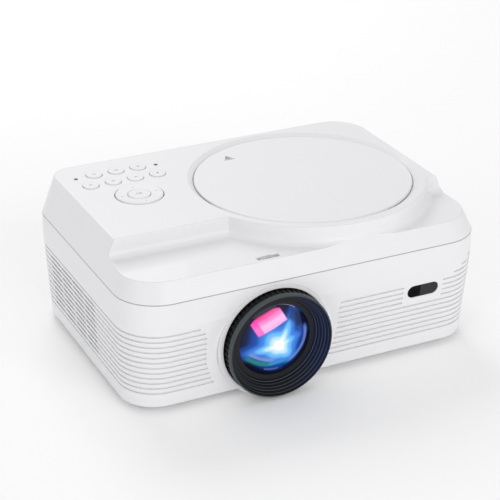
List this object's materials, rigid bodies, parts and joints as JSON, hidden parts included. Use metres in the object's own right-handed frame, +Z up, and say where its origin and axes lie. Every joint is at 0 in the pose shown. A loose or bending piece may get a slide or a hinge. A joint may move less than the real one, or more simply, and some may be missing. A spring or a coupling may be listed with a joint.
{
  "type": "projector with disc player",
  "caption": "Table-top video projector with a round flush lid over a disc player, deck keys, a large black focus ring and grooved white sides.",
  "frame": {"origin": "middle of the footprint on the surface it stands on, midway between the lens rim and the back", "axes": "+X to the right seen from the lens side, +Y to the back, +Z up; the lens looks along -Y"},
  "size_m": [0.254, 0.1886, 0.1052],
  "materials": {
    "aluminium": "extruded",
    "black": "satin moulded plastic",
    "board": "fibre board with green mask",
    "brass": "turned brass",
    "clear": "coated lens glass",
    "grey": "grey moulded plastic",
    "light_pipe": "smoked light pipe",
    "mirror": "front coated mirror",
    "rubber": "soft moulded rubber",
    "silicone": "soft translucent silicone",
    "steel": "ground steel",
    "white": "glossy moulded ABS",
    "window": "dark infrared plastic"
  },
  "bodies": {
    "case": {"case_screws": "steel", "catch_guide": "grey", "condenser_lens": "clear", "damper_bushes": "rubber", "dial_bracket": "grey", "disc_well": "white", "engine_cover": "black", "engine_housing": "black", "fan_frame": "black", "feet": "rubber", "field_lens": "clear", "fold_mirror": "mirror", "guide_rods": "steel", "heat_sink": "aluminium", "hinge_pins": "steel", "indicator_pipes": "light_pipe", "ir_window": "window", "key_switches": "silicone", "keypad_board": "board", "lamp_board": "aluminium", "lens_bezel": "white", "lens_mount": "black", "loader_frame": "steel", "lower_case": "white", "main_board": "board", "player_board": "board", "port_panel": "black", "power_board": "board", "power_inlet": "black", "sled_motor": "steel", "sockets": "steel", "speaker": "black", "spindle_motor": "steel", "tripod_insert": "brass", "upper_case": "white"},
    "lid": {"disc_lid": "white"},
    "catch": {"catch_plunger": "grey"},
    "spindle": {"turntable": "black", "clamp_balls": "steel"},
    "sled": {"pickup_sled": "grey", "objective_lens": "clear"},
    "screw": {"lead_screw": "steel"},
    "pad_carrier": {"pad_gimbal": "grey"},
    "pad": {"pad_ring": "white"},
    "centre_key": {"pad_centre_key": "white"},
    "focus": {"focus_ring": "black"},
    "barrel": {"lens_barrel": "black", "front_lens": "clear", "rear_lens": "clear"},
    "dial": {"keystone_dial": "grey"},
    "panel": {"panel_carrier": "black", "display_panel": "window"},
    "fan": {"fan_rotor": "black"},
    "key_back_1_body": {"key_back_1": "white"},
    "key_back_2_body": {"key_back_2": "white"},
    "key_back_3_body": {"key_back_3": "white"},
    "key_front_1_body": {"key_front_1": "white"},
    "key_front_2_body": {"key_front_2": "white"},
    "key_front_3_body": {"key_front_3": "white"},
    "key_front_4_body": {"key_front_4": "white"}
  },
  "joints": [
    {"name": "lid_hinge", "type": "hinge", "parent": "case", "child": "lid", "pos_m": [0.0361, 0.086, 0.0996], "axis": [-1, 0, 0], "range_deg": [0, 75]},
    {"name": "catch_push", "type": "slide", "parent": "case", "child": "catch", "axis": [0, 0, -1], "range_m": [0, 0.0025], "stiffness_N_per_m": 200},
    {"name": "spindle_turn", "type": "hinge", "parent": "case", "child": "spindle", "pos_m": [0.0361, 0.0069, 0.09275], "axis": [0, 0, 1], "continuous": true},
    {"name": "sled_travel", "type": "slide", "parent": "case", "child": "sled", "axis": [1, 0, 0], "range_m": [0, 0.034]},
    {"name": "screw_turn", "type": "hinge", "parent": "case", "child": "screw", "pos_m": [0.0361, 0.0329, 0.07755], "axis": [1, 0, 0], "range_deg": [0, 4081]},
    {"name": "pad_tilt_front_back", "type": "hinge", "parent": "case", "child": "pad_carrier", "pos_m": [-0.0759, 0.02475, 0.09995], "axis": [1, 0, 0], "range_deg": [-2, 2], "stiffness_Nm_per_rad": 0.05},
    {"name": "pad_tilt_left_right", "type": "hinge", "parent": "pad_carrier", "child": "pad", "pos_m": [-0.0759, 0.02475, 0.10105], "axis": [0, 1, 0], "range_deg": [-2, 2], "stiffness_Nm_per_rad": 0.05},
    {"name": "centre_key_press", "type": "slide", "parent": "case", "child": "centre_key", "axis": [0, 0, -1], "range_m": [0, 0.0006], "stiffness_N_per_m": 300},
    {"name": "focus_turn", "type": "hinge", "parent": "case", "child": "focus", "pos_m": [-0.03, -0.09425, 0.0383], "axis": [0, 1, 0], "range_deg": [-60, 60]},
    {"name": "barrel_slide", "type": "slide", "parent": "case", "child": "barrel", "axis": [0, 1, 0], "range_m": [-0.002, 0.002]},
    {"name": "panel_tilt", "type": "hinge", "parent": "case", "child": "panel", "pos_m": [0.016, -0.01505, 0.0383], "axis": [0, 1, 0], "range_deg": [-3, 3]},
    {"name": "dial_turn", "type": "hinge", "parent": "case", "child": "dial", "pos_m": [-0.03, -0.07485, 0.0825], "axis": [0, 1, 0], "range_deg": [-40, 40]},
    {"name": "fan_turn", "type": "hinge", "parent": "case", "child": "fan", "pos_m": [0.084, -0.01505, 0.0383], "axis": [1, 0, 0], "continuous": true},
    {"name": "key_back_1_press", "type": "slide", "parent": "case", "child": "key_back_1_body", "axis": [0, 0, -1], "range_m": [0, 0.0006], "stiffness_N_per_m": 300},
    {"name": "key_back_2_press", "type": "slide", "parent": "case", "child": "key_back_2_body", "axis": [0, 0, -1], "range_m": [0, 0.0006], "stiffness_N_per_m": 300},
    {"name": "key_back_3_press", "type": "slide", "parent": "case", "child": "key_back_3_body", "axis": [0, 0, -1], "range_m": [0, 0.0006], "stiffness_N_per_m": 300},
    {"name": "key_front_1_press", "type": "slide", "parent": "case", "child": "key_front_1_body", "axis": [0, 0, -1], "range_m": [0, 0.0006], "stiffness_N_per_m": 300},
    {"name": "key_front_2_press", "type": "slide", "parent": "case", "child": "key_front_2_body", "axis": [0, 0, -1], "range_m": [0, 0.0006], "stiffness_N_per_m": 300},
    {"name": "key_front_3_press", "type": "slide", "parent": "case", "child": "key_front_3_body", "axis": [0, 0, -1], "range_m": [0, 0.0006], "stiffness_N_per_m": 300},
    {"name": "key_front_4_press", "type": "slide", "parent": "case", "child": "key_front_4_body", "axis": [0, 0, -1], "range_m": [0, 0.0006], "stiffness_N_per_m": 300}
  ],
  "couplings": [
    {"joint": "screw_turn", "follows": "sled_travel", "rad_per_m": 2094.4},
    {"joint": "barrel_slide", "follows": "focus_turn", "m_per_rad": 0.0019099},
    {"joint": "dial_turn", "follows": "panel_tilt", "ratio": 13.333}
  ]
}
